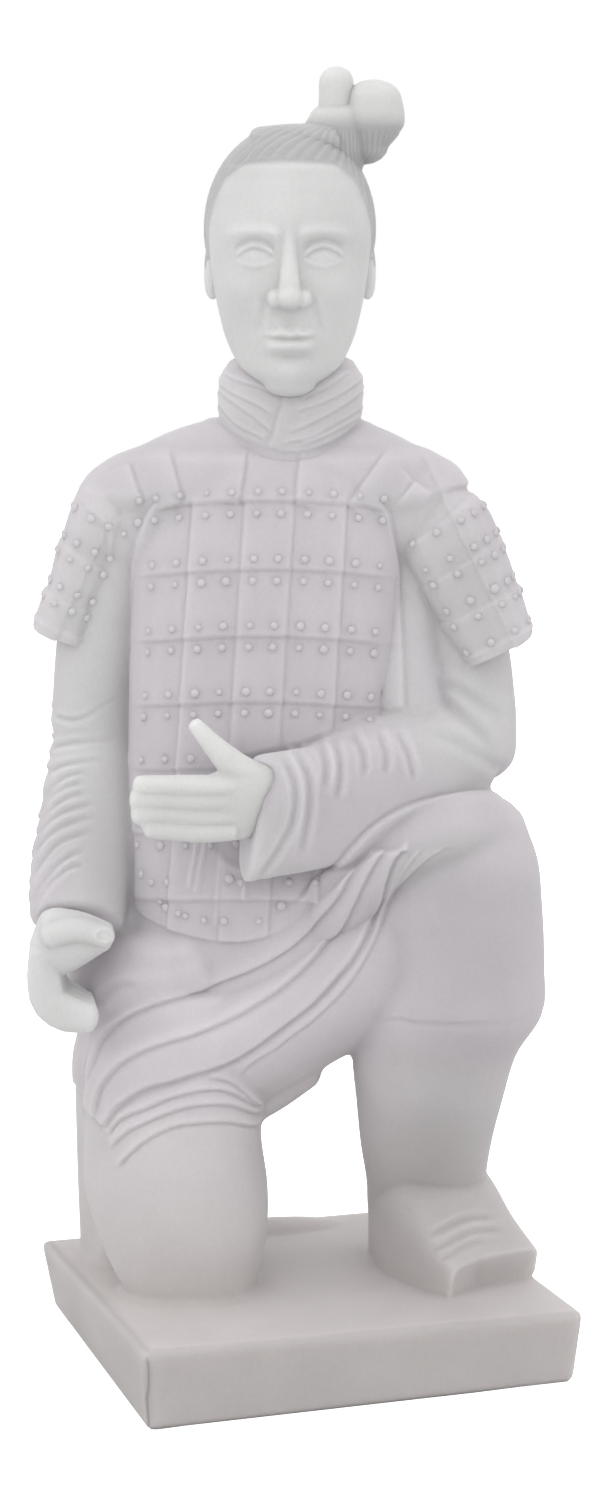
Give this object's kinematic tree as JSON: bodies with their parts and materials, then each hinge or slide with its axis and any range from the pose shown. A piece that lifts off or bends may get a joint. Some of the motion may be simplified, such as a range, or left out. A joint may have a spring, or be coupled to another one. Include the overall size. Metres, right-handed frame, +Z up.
{
  "type": "kneeling warrior statue",
  "caption": "Kneeling armoured warrior with a topknot on a low rectangular base, a flat hand at the belly and a curled hand at the hip.",
  "frame": {"origin": "centre of the base's underside", "axes": "+Z up, -Y towards the front edge of the base; the figure looks along -Y turned about 18 degrees towards -X"},
  "size_m": [0.1626, 0.126, 0.4004],
  "materials": {
    "mauve_glass": "frosted satin",
    "clear_glass": "frosted satin"
  },
  "bodies": {
    "root": {"figure_and_base": "mauve_glass", "head": "clear_glass", "left_hand": "clear_glass", "right_hand": "clear_glass"}
  },
  "joints": []
}
